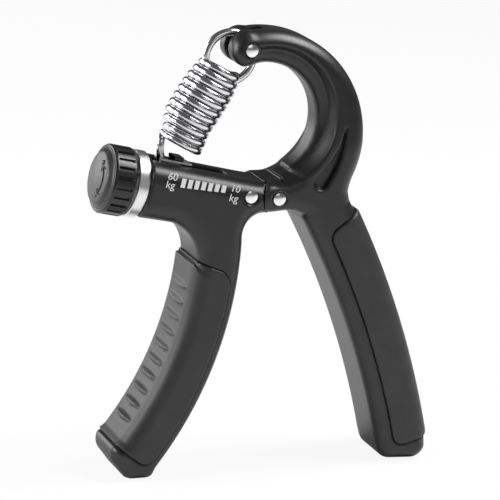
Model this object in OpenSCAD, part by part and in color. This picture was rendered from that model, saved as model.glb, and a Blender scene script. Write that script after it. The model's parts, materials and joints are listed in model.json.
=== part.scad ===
// Adjustable hand grip strengthener.
// X runs from the fixed handle to the moving one, Y runs through the thickness and Z is up.
// Both feet stand on z = 0. The outlines are drawn flat in the X-Z plane and stood upright.

/* [Body] */
// Height of the pivot above the feet
pivot_z = 95.5; // [90:0.5:105]
// Thickness of both moulded bodies
body_t = 24; // [22:0.5:29]
// Radius on the long edges of the handles
edge_r = 5; // [3:0.5:6]
// Gap between the round knuckle and its seat
seam_gap = 0.3; // [0.2:0.05:0.5]
// Radius of the round knuckle that the arm turns on
knuckle_r = 6; // [5.5:0.1:7]

/* [Handles] */
// Width of the fixed handle, across its curve
left_w = 16.2; // [14:0.2:20]
// Radius of the outer side of the fixed handle
left_bend_r = 113.3; // [105:0.5:120]
// Width of the moving handle, across its curve
right_w = 18.2; // [16:0.2:22]
// Radius of the inner side of the moving handle
right_bend_r = 310.1; // [300:0.5:320]

/* [Ring] */
// Outer radius of the C-shaped arm
ring_r = 35.3; // [34:0.1:37]
// Radius of the hole in the C-shaped arm
hole_r = 20.4; // [19:0.1:22]
// Thickness of the thin rim round the hole
rim_t = 13; // [10:0.5:16]
// Thickness of the arm at the spring end
arm_end_t = 17; // [15:0.5:20]
// Radius of the round end of the arm
arm_end_r = 6.1; // [5.5:0.1:7]

/* [Grips] */
// Thickness of the rubber over the outer side of each handle
grip_wall = 2.2; // [1.6:0.1:3]
// Thickness of the rubber on the front and back of each handle
grip_side = 1.8; // [1.4:0.1:2.2]
// How far the rubber stands proud of the body
grip_proud = 0.6; // [0.3:0.1:1]
// Gap between the rubber and the groove it lies in
grip_gap = 0.1; // [0.05:0.05:0.3]
// Strip of bare plastic beside the rubber on the fixed handle
left_strip = 2.4; // [1.5:0.1:5]
// Strip of bare plastic beside the rubber on the moving handle
right_strip = 5.1; // [3:0.1:8]

/* [Barrel] */
// Angle by which the barrel falls towards the pivot
barrel_tilt = 12; // [9:0.5:14]
// Height of the barrel, across its axis
barrel_h = 19.3; // [18:0.1:21]
// Distance from the end face of the barrel to the pivot, along the barrel
barrel_reach = 45.5; // [44:0.5:50]
// Depth of the barrel's axis below the pivot, across the barrel
barrel_drop = 5.7; // [5:0.1:6.5]
// Radius on the long edges of the barrel
barrel_r = 6.5; // [5:0.5:8]

/* [Knob] */
// Radius of the knob under its ribs
knob_r = 11; // [10:0.1:12]
// Height of the ribs on the knob
rib_h = 0.5; // [0.3:0.1:0.8]
// Number of ribs round the knob
rib_count = 22; // [16:1:28]
// Length of the ribbed part of the knob
knob_len = 7.8; // [7:0.1:10]
// Height of the domed cap
dome_h = 3; // [2:0.1:4]
// Length of the bright collar between the knob and the barrel
collar_len = 3.9; // [3:0.1:5]
// Outer radius of the bright collar
collar_r = 11.2; // [10.5:0.1:12]

/* [Screw] */
// Diameter of the adjusting screw
screw_d = 5.4; // [5:0.1:6]
// Travel of the sliding nut
travel = 17; // [12:0.5:18]
// Length of the sliding nut
nut_len = 7; // [6:0.5:8]
// Width of the sliding nut in its channel
nut_w = 10; // [9:0.5:11]
// Width of the slot in the top of the barrel
slot_w = 6.4; // [6:0.2:7]
// Clearance between the nut and its channel
slide_gap = 0.15; // [0.1:0.05:0.25]
// Distance from the barrel's end face to the nut's eye at the highest load
eye_u = 8.1; // [7.6:0.1:9]
// Height of the nut's eye above the screw's axis
eye_v = 7.4; // [7.2:0.1:7.6]

/* [Pins] */
// Diameter of the rivet shanks
pin_d = 3.6; // [3:0.1:4.4]
// Diameter of the rivet heads
head_d = 4.8; // [4.6:0.1:5.4]
// Height of a rivet head at its middle
head_h = 1; // [0.6:0.1:1.2]
// Radial clearance of each pin and bush in its hole
pin_fit = 0.05; // [0.02:0.01:0.1]
// Thickness of the steel hinge plate
plate_t = 3; // [2:0.1:4]
// Radius of the ends of the hinge plate
plate_r = 3.8; // [3.5:0.1:4]

/* [Spring] */
// Diameter of the spring wire
wire_d = 2.6; // [2.2:0.1:2.8]
// Mean radius of the coil at its middle
coil_r = 6.7; // [6.3:0.1:7]
// Number of turns in the coil
turns = 10; // [8:1:11]
// Distance between neighbouring turns
turn_pitch = 2.7; // [2.65:0.05:2.9]

/* [Hidden] */

$fn = 96;
eps = 0.01;
past = 1;              // how far a cut runs past the face that it opens
open_end = 60;         // longer than any part of the body, for cuts that run out into the air

// Places in the X-Z plane
pivot = [0, pivot_z];
rivet = pivot + [-10, 1.2];
anchor = pivot + [-11.5, 49.4];
ring_c = pivot + [-5.3, 20.2];
hole_c = pivot + [-4.5, 25];
rim_c = pivot + [-1, 24];
rim_r = hole_r + 0.8;
left_bend_c = [-140.5, 81.5];
right_bend_c = [-258, -68.5];

// The barrel's own axes: u runs along the screw towards the pivot, v runs across it
u_dir = [cos(barrel_tilt), -sin(barrel_tilt)];
v_dir = [sin(barrel_tilt), cos(barrel_tilt)];
barrel_0 = pivot - barrel_reach * u_dir - barrel_drop * v_dir;
function barrel_at(u, v) = barrel_0 + u * u_dir + v * v_dir;
eye = barrel_at(eye_u, eye_v);

// The spring's own axis: w runs from the nut's eye to the rivet on the arm
spring_len = norm(anchor - eye);
spring_lean = atan2(anchor[0] - eye[0], anchor[1] - eye[1]);
coil_h = (turns - 1) * turn_pitch;
loop_drop = coil_r - wire_d / 2 - pin_d / 2 - 0.2;   // the pin bears on the far side of the loop
loop_w = spring_len - loop_drop;
coil_top_w = loop_w - coil_r - 0.6;
coil_0_w = coil_top_w - coil_h;

// Handles
left_out_r = left_bend_r;
left_in_r = left_bend_r + left_w;
right_in_r = right_bend_r;
right_out_r = right_bend_r + right_w;
left_top_a = -3;
left_foot_a = -39.9;
left_grip_a = [-37.7, -5.6];
right_foot_a = 12;
right_top_a = 29;
right_grip_a = [13.9, 28.2];
grip_t = body_t + 2 * grip_proud;
tang_t = grip_t - 2 * grip_side;

// Barrel and screw
channel_w = nut_w + 2 * slide_gap;
nut_v = [-5, 5.2];
channel_v = [nut_v[0] - slide_gap, nut_v[1] + slide_gap];
wall_u = 2;
channel_u = [wall_u, eye_u + travel + nut_len / 2 + 0.4];
lug_w = slot_w - 2 * slide_gap;
spigot_r = 8;
screw_gap = 0.1;
journal_d = 3;
bush_len = 1.8;
bush_r = 2.8;
clip_t = 0.8;
washer_t = 0.8;
washer_gap = 0.05;
knob_face_u = -collar_len - washer_t - 2 * washer_gap;
cap_u = knob_face_u - knob_len;
knob_wall = 1.8;
knob_web = 3;
hub_screw_len = 7;
hub_screw_d = 2.6;
hub_head_r = 2.6;
hub_head_h = 1.6;
tab_u = [3.3, 7.6];
tab_t = 1.5;
strip_v = [barrel_h / 2 + 0.1, barrel_h / 2 + 0.7];
hook_r = 2.2;
hook_pin_d = 1.6;
groove_w = wire_d + 0.6;

recess_d = head_d + 0.6;
recess_depth = head_h - 0.2;

// Stands an X-Z drawing upright, centred on y = 0
module upright(t) {
    rotate([90, 0, 0]) linear_extrude(height = t, center = true) children();
}

// Turns the Z axis of its children onto Y, at a place in the X-Z plane
module across(p) {
    translate([p[0], 0, p[1]]) rotate([90, 0, 0]) children();
}

// Puts children that are drawn along +Z onto the barrel's axis, at u along it and v above it
module along_barrel(u = 0, v = 0) {
    p = barrel_at(u, v);
    translate([p[0], 0, p[1]]) rotate([0, 90 + barrel_tilt, 0]) children();
}

// Puts children that are drawn along +Z onto the spring's axis, at w along it
module along_spring(w = 0) {
    translate([eye[0], 0, eye[1]]) rotate([0, spring_lean, 0]) translate([0, 0, w]) children();
}

// A rectangle with round corners, centred on its origin
module rounded(w, h, r) {
    square([w - 2 * r, h], center = true);
    square([w, h - 2 * r], center = true);
    for (x = [-1, 1]) for (y = [-1, 1]) translate([x * (w / 2 - r), y * (h / 2 - r)]) circle(r);
}

// A stretch of handle: a section carried round an arc in the X-Z plane, between two angles
module handle_arc(c, a0, a1) {
    across(c) rotate([0, 0, a0]) rotate_extrude(angle = a1 - a0, $fn = 360) children();
}

// The section of a handle between two radii
module handle_section(r0, r1, t, r) {
    translate([(r0 + r1) / 2, 0]) rounded(r1 - r0, t, r);
}

// A round pin along Y with a low domed head at each end, of length l between the heads' seats
module rivet_pin(p, l) {
    across(p) {
        cylinder(d = pin_d, h = l + eps, center = true);
        for (s = [0, 1]) mirror([0, 0, s]) translate([0, 0, l / 2]) rivet_head();
    }
}

// The low dome of a rivet, a cap of a larger ball on a short rim
module rivet_head() {
    rim = head_h / 2;
    ball_r = (pow(head_d / 2, 2) + pow(head_h - rim, 2)) / (2 * (head_h - rim));
    rotate_extrude() intersection() {
        square([head_d / 2, head_h]);
        union() {
            square([head_d / 2, rim]);
            translate([0, head_h - ball_r]) circle(ball_r, $fn = 180);
        }
    }
}

// The hole for a rivet: a bore right through and a counterbore at each face
module rivet_hole(p, t) {
    across(p) {
        cylinder(d = pin_d + 2 * pin_fit, h = t + 2 * past, center = true);
        for (s = [0, 1]) mirror([0, 0, s]) translate([0, 0, t / 2 - recess_depth]) {
            cylinder(d = recess_d, h = recess_depth + past);
        }
    }
}

// ---- Fixed handle ----

// Solid outline between the barrel and the handle, with the seat for the knuckle cut out
module left_web() {
    neck_c = [-41.3, 74.1];
    neck_r = 14.9;
    seat_tip = 1;
    upright(body_t) difference() {
        polygon([
            [-38, 87.6], [-30, 70], [-14, 70], [-8, 86], [seat_tip, 86],
            [seat_tip, hole_c[1] - hole_r + 2], [-7, hole_c[1] - hole_r + 1.4], [-37, 97]
        ]);
        translate(neck_c) circle(neck_r);
    }
}

// The round inner corner between the fixed handle and the pivot, and the air below it
module crotch_cut() {
    r = 7.9;
    c = [-3.8, pivot[1] - 13];
    upright(body_t + 2 * past) {
        translate(c) circle(r);
        translate([c[0], c[1] - r]) square([open_end, 2 * r]);
        translate([c[0] - r, c[1] - 2 * r]) square([open_end, 2 * r]);
    }
}

// The barrel's outside: a rounded bar with a round spigot for the collar
module barrel() {
    along_barrel() linear_extrude(height = barrel_reach - 2) rounded(barrel_h, body_t, barrel_r);
    along_barrel(-collar_len) cylinder(r = spigot_r, h = collar_len + past);
}

// The channel that the nut slides in, the slot above it and the bores for the screw
module barrel_inside() {
    len = channel_u[1] - channel_u[0];
    along_barrel(channel_u[0]) {
        translate([-channel_v[1], -channel_w / 2, 0]) cube([channel_v[1] - channel_v[0], channel_w, len]);
        translate([-barrel_h, -slot_w / 2, 0]) cube([barrel_h, slot_w, len]);
    }
    along_barrel(-collar_len - past) cylinder(d = screw_d + 2 * screw_gap, h = collar_len + wall_u + 2 * past);
    along_barrel(channel_u[1] - eps) cylinder(r = bush_r + pin_fit, h = bush_len + 2 * eps);
}

// Outline of the hinge plate, waisted between its eyes, with a margin for the pocket round it
module plate_outline(margin) {
    waist = plate_r * 0.8 + margin;
    turn = atan2(rivet[1] - pivot[1], rivet[0] - pivot[0]);
    for (p = [pivot, rivet]) translate(p) circle(plate_r + margin);
    translate(pivot) rotate(turn) translate([0, -waist]) square([norm(rivet - pivot), 2 * waist]);
}

module left_body() {
    color([0.10, 0.10, 0.11]) difference() {
        union() {
            left_web();
            barrel();
            handle_arc(left_bend_c, left_foot_a, left_top_a)
                handle_section(left_out_r, left_in_r, body_t, edge_r);
        }
        across(pivot) cylinder(r = knuckle_r + seam_gap, h = body_t + 2 * past, center = true);
        across(hole_c) cylinder(r = hole_r, h = body_t + 2 * past, center = true);
        crotch_cut();
        upright(plate_t + 2 * slide_gap) plate_outline(slide_gap);
        barrel_inside();
        rivet_hole(rivet, body_t);
        grip_groove(left_bend_c, left_grip_a, left_out_r, left_in_r - left_strip, -1);
        floor_cut();
    }
}

// Everything below the surface that the feet stand on
module floor_cut() {
    translate([-open_end * 1.5, -body_t, -open_end]) cube([open_end * 3, 2 * body_t, open_end]);
}

// The groove that a grip lies in: the handle's skin down to the tang. side is -1 where the
// rubber covers the inside of the bend and 1 where it covers the outside
module grip_groove(c, a, r_skin, r_edge, side) {
    r_tang = r_skin - side * (grip_wall + grip_gap);
    margin = atan(grip_gap / r_skin);
    handle_arc(c, a[0] - margin, a[1] + margin) difference() {
        radial_box(r_skin + side * open_end / 10, r_edge - side * grip_gap, grip_t + 2 * past);
        radial_box(r_tang, r_edge - side * open_end / 10, tang_t - 2 * grip_gap);
    }
}

// A rectangle between two radii, given in either order
module radial_box(r0, r1, t) {
    translate([min(r0, r1), -t / 2]) square([abs(r1 - r0), t]);
}

// A grip: a channel of rubber that wraps the outer side, the front and the back of a handle
module grip(c, a, r_skin, r_edge, side) {
    r_out = r_skin + side * grip_proud;
    r_in = r_skin - side * grip_wall;
    handle_arc(c, a[0], a[1]) difference() {
        intersection() {
            radial_box(r_out, r_edge, grip_t);
            handle_section(min(r_out, r_out - side * 2 * open_end / 3),
                max(r_out, r_out - side * 2 * open_end / 3), grip_t, edge_r);
        }
        radial_box(r_in, r_edge - side * open_end / 10, tang_t);
    }
}

module left_grip() {
    color([0.16, 0.16, 0.17])
        grip(left_bend_c, left_grip_a, left_out_r, left_in_r - left_strip, -1);
}

module hinge_plate() {
    color([0.62, 0.63, 0.65]) difference() {
        upright(plate_t) plate_outline(0);
        for (p = [pivot, rivet]) across(p)
            cylinder(d = pin_d + 2 * pin_fit, h = plate_t + 2 * past, center = true);
    }
}

module fixed_rivet() {
    color([0.80, 0.80, 0.82]) rivet_pin(rivet, body_t - 2 * recess_depth);
}

module collar_ring() {
    color([0.83, 0.83, 0.84]) along_barrel(-collar_len) rotate_extrude() {
        translate([spigot_r + pin_fit, 0]) square([collar_r - spigot_r - pin_fit, collar_len]);
    }
}

module end_bush() {
    color([0.75, 0.62, 0.35]) along_barrel(channel_u[1]) difference() {
        cylinder(r = bush_r, h = bush_len);
        translate([0, 0, -past]) cylinder(d = journal_d + 2 * pin_fit, h = bush_len + 2 * past);
    }
}

// ---- Moving arm ----

// The C-shaped arm: a thick round disc with rounded edges
module ring() {
    seam_a = -55;
    end_a = atan2(anchor[1] - ring_c[1], anchor[0] - ring_c[0]);
    handle_arc(ring_c, seam_a, end_a) intersection() {
        translate([0, -body_t / 2]) square([ring_r, body_t]);
        rounded(2 * ring_r, body_t, edge_r);
    }
}

// The wedges that make the ring thinner towards its spring end
module ring_taper() {
    taper_0 = hole_c[1] - 8;
    taper_h = ring_c[1] + ring_r - taper_0;
    thin = (body_t - arm_end_t) / 2;
    for (s = [-1, 1]) translate([-open_end, 0, taper_0]) rotate([90, 0, 90])
        linear_extrude(height = 2 * open_end)
            polygon([[s * body_t / 2, 0], [s * (body_t / 2 - thin), taper_h],
                [s * body_t, taper_h], [s * body_t, 0]]);
}

// Solid outline between the ring and the moving handle, a hair thinner than both
module right_web() {
    sink = 0.03;
    waist_c = pivot + [33.6, 2.8];
    waist_r = 8.6;
    upright(body_t - 2 * sink) difference() {
        polygon([
            [seam_x(), pivot[1] - knuckle_r], [6.5, pivot[1] - knuckle_r], [10.9, 86.3], [14.2, 80.6],
            [20, 79], [28.5, 86], [31, 91.2], [27.5, 97.2], [10.5, 97.2], [seam_x(), hole_c[1] - hole_r + 4]
        ]);
        translate(waist_c) circle(waist_r);
    }
}

// The arm starts this far right of the pivot, except for its round knuckle
function seam_x() = pivot[0] + 1.3;

// The long drop-shaped hollow in the front and back faces
module drop_recess() {
    depth = 2.5;
    big = [14.3, pivot[1] + 5.2];
    big_r = 2.9;
    tip = pivot + [21.9, 24.5];
    for (s = [-1, 1]) translate([0, s * (body_t / 2 - depth / 2 + past / 2), 0]) upright(depth + past) {
        translate(big) circle(big_r);
        polygon([big + [-big_r * 0.94, big_r * 0.34], big + [big_r * 0.94, -big_r * 0.34], tip]);
    }
}

module right_arm() {
    color([0.10, 0.10, 0.11]) difference() {
        union() {
            difference() {
                union() {
                    ring();
                    right_web();
                    handle_arc(right_bend_c, right_foot_a, right_top_a)
                        handle_section(right_in_r, right_out_r, body_t, edge_r);
                }
                ring_taper();
                translate([seam_x() - open_end, -body_t, pivot[1] - open_end / 2])
                    cube([open_end, 2 * body_t, open_end / 2 + hole_c[1] - pivot[1] - 10]);
            }
            across(pivot) cylinder(r = knuckle_r, h = body_t, center = true);
            across(anchor) cylinder(r = arm_end_r, h = arm_end_t, center = true);
        }
        across(hole_c) cylinder(r = hole_r, h = body_t + 2 * past, center = true);
        for (s = [0, 1]) mirror([0, s, 0]) translate([rim_c[0], -rim_t / 2, rim_c[1]])
            rotate([90, 0, 0]) cylinder(r = rim_r, h = body_t);
        across(pivot) cylinder(r = knuckle_r + seam_gap, h = plate_t + 2 * slide_gap, center = true);
        hook_slot();
        rivet_hole(pivot, body_t);
        rivet_hole(anchor, arm_end_t);
        drop_recess();
        grip_groove(right_bend_c, right_grip_a, right_out_r, right_in_r + right_strip, 1);
        toe_cut([56, 5.4], 5.4);
        floor_cut();
    }
}

// Rounds the outer corner of a foot: the corner square less its circle
module toe_cut(c, r) {
    upright(body_t + 2 * past) difference() {
        translate([c[0], -past]) square([3 * r, c[1] + past]);
        translate(c) circle(r);
    }
}

// The slot in the arm's end that the spring's loop lies in
module hook_slot() {
    side = 0.5;
    room = 1;
    across(anchor - [0.5, 0.9])
        cylinder(r = coil_r + wire_d / 2 + room + 0.3, h = wire_d + 2 * side, center = true);
}

module right_grip() {
    color([0.16, 0.16, 0.17])
        grip(right_bend_c, right_grip_a, right_out_r, right_in_r + right_strip, 1);
}

module pivot_rivet() {
    color([0.80, 0.80, 0.82]) rivet_pin(pivot, body_t - 2 * recess_depth);
}

module spring_rivet() {
    color([0.80, 0.80, 0.82]) rivet_pin(anchor, arm_end_t - 2 * recess_depth);
}

// ---- Knob and screw ----

// The knob is a cup: a ribbed wall, and a web that the screw passes through
module knob_ring() {
    rib_w = 1.5;
    rib_end = 0.8;
    color([0.08, 0.08, 0.09]) along_barrel(cap_u) difference() {
        union() {
            cylinder(r = knob_r, h = knob_len);
            for (k = [0 : rib_count - 1]) rotate([0, 0, k * 360 / rib_count])
                translate([0, -rib_w / 2, rib_end]) cube([knob_r + rib_h, rib_w, knob_len - 2 * rib_end]);
        }
        translate([0, 0, -past]) cylinder(r = knob_r - knob_wall, h = knob_len - knob_web + past);
        translate([0, 0, -past]) cylinder(d = screw_d + 2 * pin_fit, h = knob_len + 2 * past);
    }
}

// The domed cap, whose skirt plugs into the knob's wall
module knob_cap() {
    lip = 1.2;
    skirt = 2;
    flat = 0.8;
    ball_r = (pow(knob_r, 2) + pow(dome_h - flat, 2)) / (2 * (dome_h - flat));
    skirt_r = knob_r - knob_wall - pin_fit;
    color([0.07, 0.07, 0.08]) along_barrel(cap_u - dome_h) rotate_extrude() {
        intersection() {
            square([knob_r, dome_h]);
            union() {
                translate([0, dome_h - flat]) square([knob_r, flat]);
                translate([0, ball_r]) circle(ball_r, $fn = 360);
            }
        }
        translate([skirt_r - lip, dome_h - eps]) square([lip, skirt]);
    }
}

// The small screw and washer head that hold the knob on the adjusting screw
module knob_hub_screw() {
    seat_u = cap_u + knob_len - knob_web;
    color([0.70, 0.70, 0.72]) along_barrel(seat_u - hub_head_h - 1) {
        cylinder(r = hub_head_r, h = hub_head_h);
        cylinder(d = hub_screw_d, h = hub_head_h + hub_screw_len);
    }
}

// The adjusting screw, with a thin journal at its far end
module lead_screw() {
    seat_u = cap_u + knob_len - knob_web;
    start_u = seat_u - 1;
    end_u = channel_u[1] - screw_gap;
    color([0.66, 0.66, 0.68]) difference() {
        union() {
            along_barrel(start_u) cylinder(d = screw_d, h = end_u - start_u);
            along_barrel(end_u - eps) cylinder(d = journal_d, h = bush_len);
        }
        along_barrel(start_u - past) cylinder(d = hub_screw_d + 2 * pin_fit, h = hub_screw_len + past);
        along_barrel(wall_u + screw_gap) difference() {
            cylinder(d = screw_d + past, h = clip_t);
            cylinder(d = screw_d - 1, h = clip_t);
        }
    }
}

module thrust_washer() {
    color([0.75, 0.75, 0.76]) along_barrel(-collar_len - washer_gap - washer_t) difference() {
        cylinder(r = spigot_r - 1, h = washer_t);
        translate([0, 0, -past]) cylinder(d = screw_d + 2 * screw_gap, h = washer_t + 2 * past);
    }
}

// The spring clip in the screw's groove, which keeps the screw in the barrel
module screw_clip() {
    color([0.55, 0.55, 0.57]) along_barrel(wall_u + screw_gap + washer_gap) difference() {
        cylinder(r = channel_v[1] - 0.6, h = clip_t - 2 * washer_gap);
        translate([0, 0, -past]) cylinder(d = screw_d - 0.8, h = clip_t + 2 * past);
        translate([0, -(screw_d - 1.6) / 2, -past]) cube([open_end, screw_d - 1.6, clip_t + 2 * past]);
    }
}

// The nut that the screw drives, with a lug that stands in the slot and holds the spring
module slider_nut() {
    floor_v = eye_v - hook_r - wire_d / 2 - 0.3;
    groove_len = nut_len / 2 + hook_r + wire_d / 2 + 0.4;
    color([0.72, 0.72, 0.74]) along_barrel(eye_u - nut_len / 2) difference() {
        union() {
            translate([-nut_v[1], -nut_w / 2, 0]) cube([nut_v[1] - nut_v[0], nut_w, nut_len]);
            translate([-strip_v[1], -lug_w / 2, 0]) cube([strip_v[1], lug_w, nut_len]);
            translate([-strip_v[1], -lug_w / 2, 0])
                cube([strip_v[1] - strip_v[0], lug_w, nut_len / 2 + tab_u[1]]);
        }
        translate([0, 0, -past]) cylinder(d = screw_d + 2 * screw_gap, h = nut_len + 2 * past);
        translate([-barrel_h, -groove_w / 2, -past]) cube([barrel_h - floor_v, groove_w, groove_len + past]);
        translate([-eye_v, 0, nut_len / 2]) rotate([90, 0, 0])
            cylinder(d = hook_pin_d, h = 2 * lug_w, center = true);
    }
}

// The pin across the nut's groove that the spring's lower hook pulls on
module hook_pin() {
    color([0.70, 0.70, 0.72]) across(eye) cylinder(d = hook_pin_d, h = lug_w, center = true);
}

// The black pointer that rides on the nut above the slot
module pointer_tab() {
    corner_r = 1.2;
    tab_len = tab_u[1] - tab_u[0];
    color([0.06, 0.06, 0.07]) along_barrel(eye_u + tab_u[0], strip_v[1]) rotate([0, -90, 0])
        linear_extrude(height = tab_t) translate([tab_len / 2, 0]) rounded(tab_len, lug_w, corner_r);
}

// ---- Spring ----

// The lower hook: a closed eye of wire through the nut's lug and a leg up to the coil
module spring_lower_hook() {
    end_w = coil_0_w - wire_d / 2 - 0.3;
    side = coil_r - hook_r - 0.6;
    lean = atan(side / end_w);
    color([0.78, 0.78, 0.80]) {
        across(eye) rotate_extrude() translate([hook_r, 0]) circle(d = wire_d, $fn = 32);
        along_spring() translate([-hook_r, 0, 0]) rotate([0, -lean, 0])
            cylinder(d = wire_d, h = end_w / cos(lean) - wire_d / 2 * tan(lean), $fn = 32);
    }
}

// The coil as a ribbed sleeve: one ring of wire for each turn on a thin wall
module spring_coil() {
    wall = 1.2;
    color([0.78, 0.78, 0.80]) along_spring(coil_0_w) rotate_extrude() {
        for (k = [0 : turns - 1]) translate([coil_r, k * turn_pitch]) circle(d = wire_d, $fn = 32);
        translate([coil_r - wall / 2, 0]) square([wall, coil_h]);
    }
}

// The upper loop: a closed ring of wire round the arm's rivet
module spring_upper_hook() {
    color([0.78, 0.78, 0.80]) along_spring(loop_w) rotate([90, 0, 0])
        rotate_extrude() translate([coil_r, 0]) circle(d = wire_d, $fn = 32);
}

left_body();
left_grip();
hinge_plate();
fixed_rivet();
collar_ring();
end_bush();
right_arm();
right_grip();
pivot_rivet();
spring_rivet();
knob_ring();
knob_cap();
knob_hub_screw();
lead_screw();
thrust_washer();
screw_clip();
slider_nut();
hook_pin();
pointer_tab();
spring_lower_hook();
spring_coil();
spring_upper_hook();
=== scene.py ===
# %% [markdown]
# # An adjustable hand grip strengthener
# Two black moulded bodies turn on one rivet. A plated pull spring holds them apart, and a ribbed
# knob turns a screw that slides the spring's foot along the barrel, which sets the load.
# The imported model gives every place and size; this notebook gives it its finished surfaces.

# %% Load the frame
import json
import math

import bmesh
import bpy
import numpy as np
from mathutils import Matrix, Vector


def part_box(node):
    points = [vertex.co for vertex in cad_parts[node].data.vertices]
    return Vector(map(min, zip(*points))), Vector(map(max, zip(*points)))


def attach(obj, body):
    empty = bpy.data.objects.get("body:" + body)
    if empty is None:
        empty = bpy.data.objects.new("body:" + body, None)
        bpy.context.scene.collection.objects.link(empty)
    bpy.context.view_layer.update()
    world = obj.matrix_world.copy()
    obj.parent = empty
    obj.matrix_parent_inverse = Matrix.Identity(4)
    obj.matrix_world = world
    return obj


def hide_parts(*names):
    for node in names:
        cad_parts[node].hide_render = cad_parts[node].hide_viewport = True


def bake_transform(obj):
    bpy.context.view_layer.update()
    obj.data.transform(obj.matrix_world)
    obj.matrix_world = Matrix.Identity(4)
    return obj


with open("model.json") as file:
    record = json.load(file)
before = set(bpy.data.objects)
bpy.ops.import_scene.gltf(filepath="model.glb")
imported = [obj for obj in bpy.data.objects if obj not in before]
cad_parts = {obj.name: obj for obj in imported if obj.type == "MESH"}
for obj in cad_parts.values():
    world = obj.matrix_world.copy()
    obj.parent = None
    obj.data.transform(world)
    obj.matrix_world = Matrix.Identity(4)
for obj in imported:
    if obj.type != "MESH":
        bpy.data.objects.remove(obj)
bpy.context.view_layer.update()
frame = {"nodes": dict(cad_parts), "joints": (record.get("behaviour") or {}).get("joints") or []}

# %% [markdown]
# ## Places taken from the model
# Shapes are worked out in millimetres in the upright X-Z plane, with Y through the thickness.
# The joints give the pivot, the barrel's axis and the spring's axis, and the nodes' boxes give
# the rivets. The barrel has its own axes: u along the screw towards the pivot, v across it.

# %% Places
MM = 0.001
joints = {j["name"]: j for j in frame["joints"]}


def flat(place):
    """The X and Z of a place in metres, as millimetres."""
    return np.array([place[0], place[2]]) / MM


def centre_of(node):
    """The middle of a node's box in the X-Z plane, in millimetres."""
    low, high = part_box(node)
    return flat((low + high) / 2)


pivot = flat(joints["squeeze"]["pos_m"])
barrel_0 = flat(joints["knob_turn"]["pos_m"])
u_dir = np.array(joints["knob_turn"]["axis"])[[0, 2]]
v_dir = np.array([-u_dir[1], u_dir[0]])
eye = flat(joints["spring_follow"]["pos_m"])
w_dir = np.array(joints["spring_stretch"]["axis"])[[0, 2]]
fixed_rivet = centre_of("fixed_rivet")
anchor = centre_of("spring_rivet")
half_t = 12.0  # half the bodies' thickness
print("pivot", pivot, "barrel", barrel_0.round(2), "eye", eye.round(2), "anchor", anchor.round(2))


def barrel_at(u, v):
    """A place in the X-Z plane: the barrel's end face plus u along its axis and v across it."""
    return barrel_0 + u * u_dir + v * v_dir


# %% [markdown]
# ## Outlines
# Both bodies are mostly arcs. An outline is a list of points and arcs joined in order, and its
# signed distance is the distance to the nearest edge, negative inside.

# %% Outline helpers
def arc(centre, r, start, end, steps=24):
    """Points on a circle: centre plus r times cosine and sine, from one angle to the other."""
    a = np.radians(np.linspace(start, end, steps))
    return np.column_stack([centre[0] + r * np.cos(a), centre[1] + r * np.sin(a)])


def outline(*parts):
    """Joins points and arcs into one closed outline."""
    return np.vstack([np.atleast_2d(np.asarray(p, float)) for p in parts])


def distance_to(loop, x, z):
    """Signed distance to a closed outline: the least distance to its edges, negative where a ray
    to the right crosses it an odd number of times."""
    best = np.full(x.shape, 1e9)
    inside = np.zeros(x.shape, bool)
    for (ax, az), (bx, bz) in zip(loop, np.roll(loop, -1, axis=0)):
        ex, ez = bx - ax, bz - az
        t = np.clip(((x - ax) * ex + (z - az) * ez) / max(ex * ex + ez * ez, 1e-12), 0, 1)
        best = np.minimum(best, (x - ax - t * ex) ** 2 + (z - az - t * ez) ** 2)
        crosses = (az > z) != (bz > z)
        if abs(ez) > 1e-12:
            inside ^= crosses & (x < ax + (z - az) * ex / ez)
    return np.where(inside, -1, 1) * np.sqrt(best)


def smooth(t):
    """Rises from 0 to 1 with level ends: 3t squared less 2t cubed."""
    t = np.clip(t, 0, 1)
    return t * t * (3 - 2 * t)


def round_both(a, b, r):
    """Inside both a and b, with their shared edge rounded to radius r."""
    return np.minimum(np.maximum(a, b), -r) + np.hypot(np.maximum(a + r, 0), np.maximum(b + r, 0))


# %% [markdown]
# ## Solids as fields
# A moulded body with fillets that run into one another is hard to loft and easy to describe: it
# is the place where the outline's distance and the distance from the two faces are both
# negative, with their edge rounded. The field is sampled on a grid of cubes, one vertex is put
# in each cube that the surface passes, and each crossed grid edge gives one square between four
# cubes. Everything is done on whole arrays.

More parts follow.
